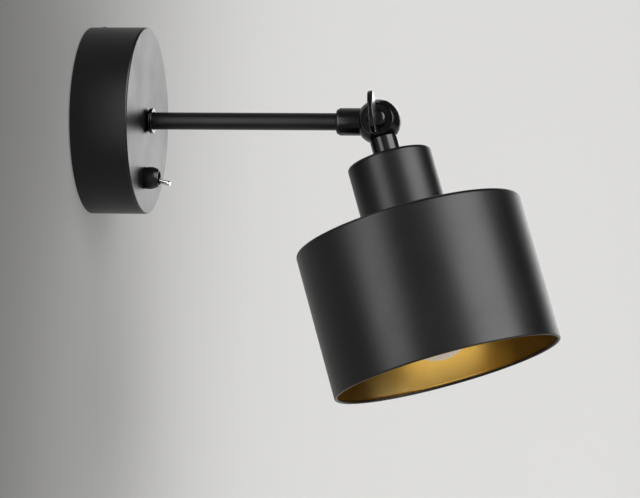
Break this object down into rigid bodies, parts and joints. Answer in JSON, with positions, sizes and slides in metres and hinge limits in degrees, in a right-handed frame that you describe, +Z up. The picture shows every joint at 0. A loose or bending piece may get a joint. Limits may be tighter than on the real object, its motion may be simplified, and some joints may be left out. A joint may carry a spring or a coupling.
{
  "type": "wall reading lamp",
  "caption": "Wall reading lamp: round canopy with a toggle switch, straight arm, ball knuckle clamped by a wing screw, and a drum shade, gold-coloured inside, round a globe bulb.",
  "frame": {"origin": "centre of the canopy's back, on the wall, midway between the bracket's two slots", "axes": "+Y points into the wall, so the lamp stands out along -Y; +Z is up; +X is to the right of someone who faces the wall"},
  "size_m": [0.132, 0.2756, 0.2176],
  "materials": {
    "satin_black": "satin black coat",
    "gloss_black": "smooth black coat, glossier than the drums",
    "shade_coat": "satin black outside, gold-coloured inside",
    "zinc_steel": "bright zinc plate",
    "nickel": "polished nickel plate",
    "brass": "plain brass",
    "black_plastic": "fine satin black",
    "white_nylon": "milky white",
    "ceramic": "glazed white",
    "fibre": "dark fibre",
    "frosted_glass": "frosted",
    "clear_glass": "clear",
    "filament": "yellow phosphor",
    "black_glass": "black glass",
    "solder": "tinned",
    "wire_brown": "brown sheath",
    "wire_blue": "blue sheath",
    "wire_earth": "green and yellow sheath"
  },
  "bodies": {
    "wall_arm": {"canopy_cover": "satin_black", "canopy_screw": "gloss_black", "canopy_peg": "zinc_steel", "wall_bracket": "zinc_steel", "terminal_block": "white_nylon", "terminal_barrels": "brass", "terminal_screws": "zinc_steel", "earth_screw": "zinc_steel", "earth_tags": "solder", "arm_tube": "satin_black", "arm_collar": "gloss_black", "arm_tooth_washer": "zinc_steel", "arm_lock_nut": "zinc_steel", "knuckle_arm_half": "gloss_black", "friction_washer": "fibre", "switch_body": "black_plastic", "switch_bush": "nickel", "switch_inner_nut": "nickel", "switch_tooth_washer": "zinc_steel", "switch_dress_nut": "black_plastic", "switch_tags": "solder", "line_wire": "wire_brown", "switched_wire": "wire_brown", "neutral_wire": "wire_blue", "earth_wire": "wire_earth"},
    "head": {"knuckle_head_half": "gloss_black", "stem_nipple": "zinc_steel", "lamp_cup": "satin_black", "cup_tooth_washer": "zinc_steel", "cup_lock_nut": "zinc_steel", "shade": "shade_coat", "shade_ring": "black_plastic", "holder_cap": "black_plastic", "holder_sleeve": "black_plastic", "holder_insert": "ceramic", "holder_terminal_screws": "zinc_steel", "holder_screw_shell": "brass", "holder_centre_contact": "brass", "bulb_glass": "frosted_glass", "bulb_cap": "nickel", "bulb_insulator": "black_glass", "bulb_contact": "solder", "bulb_mount": "clear_glass", "bulb_filaments": "filament", "head_wires": "wire_brown"},
    "wing_screw": {"wing_screw": "gloss_black", "knuckle_flat_washer": "gloss_black", "knuckle_spring_washer": "zinc_steel"},
    "toggle_lever": {"toggle_lever": "nickel"}
  },
  "joints": [
    {"name": "head_tilt", "type": "hinge", "parent": "wall_arm", "child": "head", "pos_m": [0, -0.1685, 0], "axis": [-1, 0, 0], "range_deg": [-30, 170]},
    {"name": "wing_screw_turn", "type": "hinge", "parent": "wall_arm", "child": "wing_screw", "pos_m": [-0.0125, -0.1685, 0], "axis": [-1, 0, 0], "range_deg": [0, 180]},
    {"name": "toggle_flip", "type": "hinge", "parent": "wall_arm", "child": "toggle_lever", "pos_m": [0, -0.0355, -0.0338], "axis": [-1, 0, 0], "range_deg": [0, 30]}
  ]
}
